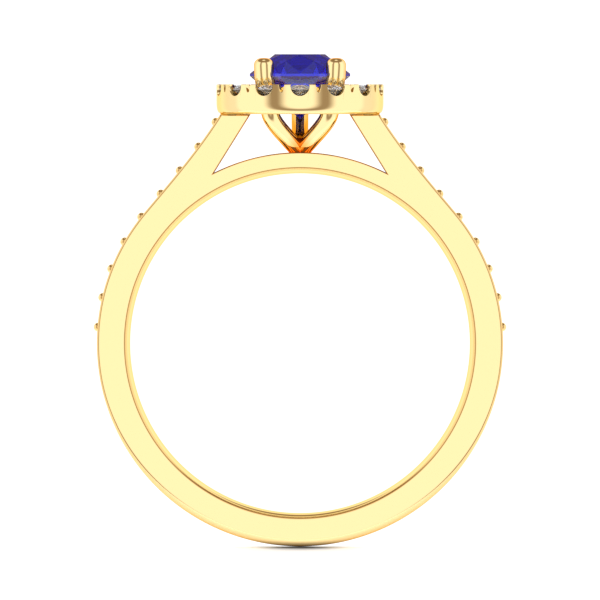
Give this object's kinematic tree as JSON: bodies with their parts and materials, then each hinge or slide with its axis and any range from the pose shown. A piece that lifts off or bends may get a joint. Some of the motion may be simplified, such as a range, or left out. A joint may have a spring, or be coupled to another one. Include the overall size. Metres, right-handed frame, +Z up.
{
  "type": "engagement ring",
  "caption": "Yellow gold halo ring: round blue centre stone in four claws, a ring of small clear stones round it and clear stones set along both cathedral shoulders.",
  "frame": {"origin": "centre of the finger hole, halfway across the band's width", "axes": "+X to the wearer's right shoulder of the ring seen from the front, +Y along the finger hole's axis to the back of the ring, +Z up through the head"},
  "size_m": [0.0206, 0.0084, 0.0245],
  "materials": {
    "gold": "18 ct yellow gold, mirror polished",
    "blue_stone": "blue transparent gemstone, polished facets",
    "clear_stone": "colourless transparent gemstone, polished facets"
  },
  "bodies": {
    "root": {"shank": "gold", "head": "gold", "halo_frame": "gold", "centre_stone": "blue_stone", "halo_stone_01": "clear_stone", "halo_stone_02": "clear_stone", "halo_stone_03": "clear_stone", "halo_stone_04": "clear_stone", "halo_stone_05": "clear_stone", "halo_stone_06": "clear_stone", "halo_stone_07": "clear_stone", "halo_stone_08": "clear_stone", "halo_stone_09": "clear_stone", "halo_stone_10": "clear_stone", "halo_stone_11": "clear_stone", "halo_stone_12": "clear_stone", "halo_stone_13": "clear_stone", "halo_stone_14": "clear_stone", "shoulder_stone_left_1": "clear_stone", "shoulder_stone_left_2": "clear_stone", "shoulder_stone_left_3": "clear_stone", "shoulder_stone_left_4": "clear_stone", "shoulder_stone_left_5": "clear_stone", "shoulder_stone_left_6": "clear_stone", "shoulder_stone_left_7": "clear_stone", "shoulder_stone_left_8": "clear_stone", "shoulder_stone_right_1": "clear_stone", "shoulder_stone_right_2": "clear_stone", "shoulder_stone_right_3": "clear_stone", "shoulder_stone_right_4": "clear_stone", "shoulder_stone_right_5": "clear_stone", "shoulder_stone_right_6": "clear_stone", "shoulder_stone_right_7": "clear_stone", "shoulder_stone_right_8": "clear_stone"}
  },
  "joints": []
}
